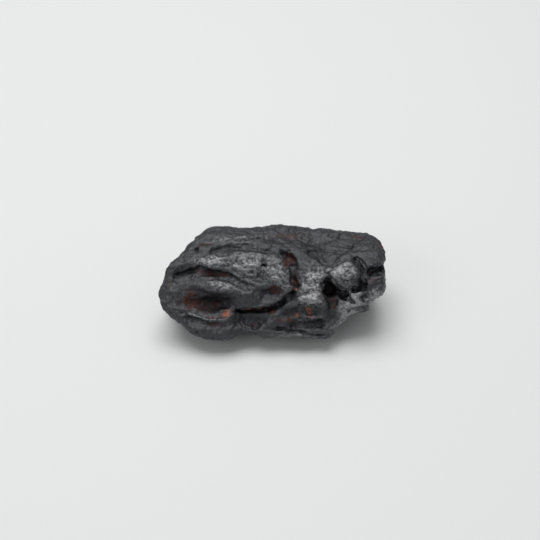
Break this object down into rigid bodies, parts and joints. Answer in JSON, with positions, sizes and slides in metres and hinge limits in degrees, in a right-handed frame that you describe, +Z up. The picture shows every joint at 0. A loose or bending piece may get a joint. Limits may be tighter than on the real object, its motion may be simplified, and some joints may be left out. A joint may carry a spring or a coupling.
{
  "type": "iron meteorite",
  "caption": "Flattened, oblong lump of natural iron with overlapping lips, cracks, hollows and shallow thumbprints; rests on flat spots under it.",
  "frame": {"origin": "middle of the footprint's bounding box, on the plane it rests on", "axes": "+X along the lump's length towards the end with the knobs, +Y from its front to its rear, +Z up"},
  "size_m": [0.0452, 0.026, 0.0159],
  "materials": {
    "meteorite_iron": "dark fusion crust, semi-gloss on the raised metal, dull and rusty in the hollows"
  },
  "bodies": {
    "root": {"meteorite": "meteorite_iron"}
  },
  "joints": []
}
